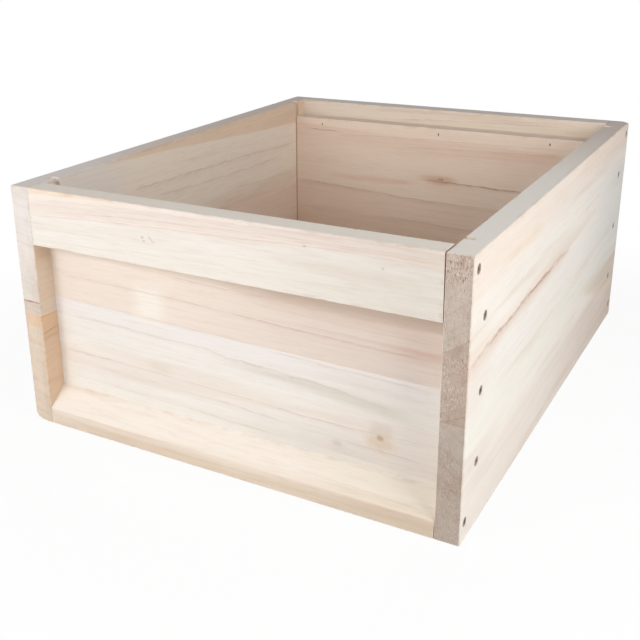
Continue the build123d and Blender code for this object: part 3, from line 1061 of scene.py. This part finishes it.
def metal_material(name, tone, stain_tone, rough, crown=None):
    """Dull steel with stains, pits and scratches. A crown is how far out the heads reach; below it the steel
    is darkened, with dirt and painted shade in the recess and round the head.
    """
    material = bpy.data.materials.new(name)
    tree = Tree(material)
    place = tree.place_in_mm()
    stain = tree.noise(place, (1.8, 1.8, 1.8), 4.0, 0.6)
    scratch = tree.noise(place, (0.15, 2.5, 0.15))
    pits = tree.noise(place, (0.3, 0.3, 0.3))
    colour = tree.mix(tree.span(stain, 0.38, 0.68), linear(tone), linear(stain_tone))
    colour = tree.mix(tree.span(pits, 0.56, 0.7, 0.0, 0.5), colour, linear(BARK))
    if crown:
        out = tree.math("ABSOLUTE", tree.split(place)[X])
        # Dirt and painted shade: the head darkens below its crown, in the cross recess and round its rim.
        dirt_and_shade = tree.span(out, *(crown - depth for depth in CROWN_DEPTH), 0.85, 0.0)
        colour = tree.mix(dirt_and_shade, colour, linear(BARK))
    relief = tree.times_plus(pits, -0.8, scratch)
    shader = tree.coat(colour, tree.times_plus(scratch, 0.3, rough), relief, **STEEL_RELIEF)
    shader.inputs["Metallic"].default_value = 1.0
    return material


screw_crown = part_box("front_right_screws")[1].x / MM + HEAD_LIFT
screw_plating = metal_material(
    "screw_plating", tone=(164, 157, 145), stain_tone=(116, 107, 96), rough=0.35, crown=screw_crown,
)
pin_wire = metal_material("pin_wire", tone=(126, 114, 102), stain_tone=(92, 80, 70), rough=0.4)
spins = Random(SPIN_SEED)
LEFTWARD, RIGHTWARD = -1, 1
BACKWARD, FORWARD = 1, -1

for end_name, into_box in (("front", BACKWARD), ("rear", FORWARD)):
    for side_name, outward in (("left", LEFTWARD), ("right", RIGHTWARD)):
        node = f"{end_name}_{side_name}_screws"
        screws = driven(node, screw_mesh, X, outward, HEAD_LIFT, lambda: spins.uniform(0, pi))
        show(screws, node, "steel", screw_plating)
    for rail_name in ("top", "bottom"):
        node = f"{end_name}_{rail_name}_rail_pins"
        pins = driven(node, pin_mesh, Y, into_box, 0.0, lambda: UPRIGHT)
        show(pins, node, "steel", pin_wire)


# Camera, floor and light

def make_camera():
    """Camera at the photograph's place, turned by its yaw, pitch and roll."""
    data = bpy.data.cameras.new("camera")
    data.sensor_width = SENSOR_WIDTH
    data.lens = FOCAL_PIXELS * SENSOR_WIDTH / IMAGE_SIZE
    data.shift_x = (IMAGE_SIZE / 2 - PRINCIPAL_POINT[0]) / IMAGE_SIZE
    data.shift_y = (PRINCIPAL_POINT[1] - IMAGE_SIZE / 2) / IMAGE_SIZE
    yaw = Matrix.Rotation(-CAMERA_YAW, 4, "Z")
    pitch = Matrix.Rotation(pi / 2 + CAMERA_PITCH, 4, "X")
    roll = Matrix.Rotation(CAMERA_ROLL, 4, "Z")
    camera = placed("camera", data)
    camera.matrix_world = Matrix.Translation(CAMERA_PLACE) @ yaw @ pitch @ roll
    scene.camera = camera


def seen_directly(tree):
    """1 for rays that show the background: from the camera, or mirrored or let through by a piece."""
    path = tree.nodes.new("ShaderNodeLightPath").outputs
    glossy = tree.math("MAXIMUM", path["Is Camera Ray"], path["Is Glossy Ray"])
    return tree.math("MAXIMUM", glossy, path["Is Transmission Ray"])


FLOOR_SIZE = 12.0
FLOOR_TONE = (243, 243, 243)
FLOOR_WHITENESS = 0.92
SHADOW_REACH = (0.34, 0.62)
SKY_STRENGTH = 0.17


def make_floor():
    """White floor that takes a faint shadow close to the box and runs out to plain white."""
    skin = bmesh.new()
    bmesh.ops.create_grid(skin, x_segments=1, y_segments=1, size=FLOOR_SIZE / 2)
    mesh = plain_mesh("floor", skin)
    floor = placed("floor", mesh)
    material = bpy.data.materials.new("floor_white")
    tree = Tree(material)
    tree.nodes.remove(tree.nodes["Principled BSDF"])
    matt = tree.put("BsdfDiffuse", linear(FLOOR_TONE))
    white = tree.put("Emission", (1, 1, 1, 1), 1.0)
    far = tree.vector("LENGTH", tree.put("TexCoord", out="Object"), out="Value")
    share = tree.product(seen_directly(tree), tree.span(far, *SHADOW_REACH, FLOOR_WHITENESS, 1.0))
    tree.feed(tree.nodes["Material Output"].inputs["Surface"], tree.put("MixShader", share, matt, white))
    mesh.materials.append(material)


def make_sky():
    """Even studio light from all round, and a white background behind it."""
    world = bpy.data.worlds.new("studio")
    tree = Tree(world)
    tree.nodes.remove(tree.nodes["Background"])
    light = tree.put("Background", (1, 1, 1, 1), SKY_STRENGTH)
    white = tree.put("Background", (1, 1, 1, 1), 1.0)
    surface = tree.put("MixShader", seen_directly(tree), light, white)
    tree.feed(tree.nodes["World Output"].inputs["Surface"], surface)
    scene.world = world


def softbox(name, place, aim, size, power):
    """Square area light at a place, facing a point."""
    data = bpy.data.lights.new(name, "AREA")
    data.size = size
    data.energy = power
    lamp = placed(name, data)
    lamp.location = place
    lamp.rotation_euler = (Vector(aim) - Vector(place)).to_track_quat("-Z", "Y").to_euler()


make_camera()
make_floor()
make_sky()
softbox("front_softbox", place=(-0.35, -1.35, 0.55), aim=(-0.05, -0.25, 0.1), size=0.7, power=8.5)
softbox("left_softbox", place=(-0.9, -1.2, 0.6), aim=(-0.1, -0.25, 0.1), size=0.7, power=2.5)
softbox("right_softbox", place=(1.05, -0.42, 0.52), aim=(0.2, -0.2, 0.1), size=0.6, power=7.8)
softbox("top_softbox", place=(0, -0.3, 1.6), aim=(0, 0, 0.1), size=1.0, power=2.3)
softbox("rear_softbox", place=(-1.1, 1.3, 0.5), aim=(0, 0.1, 0.1), size=0.8, power=9.0)
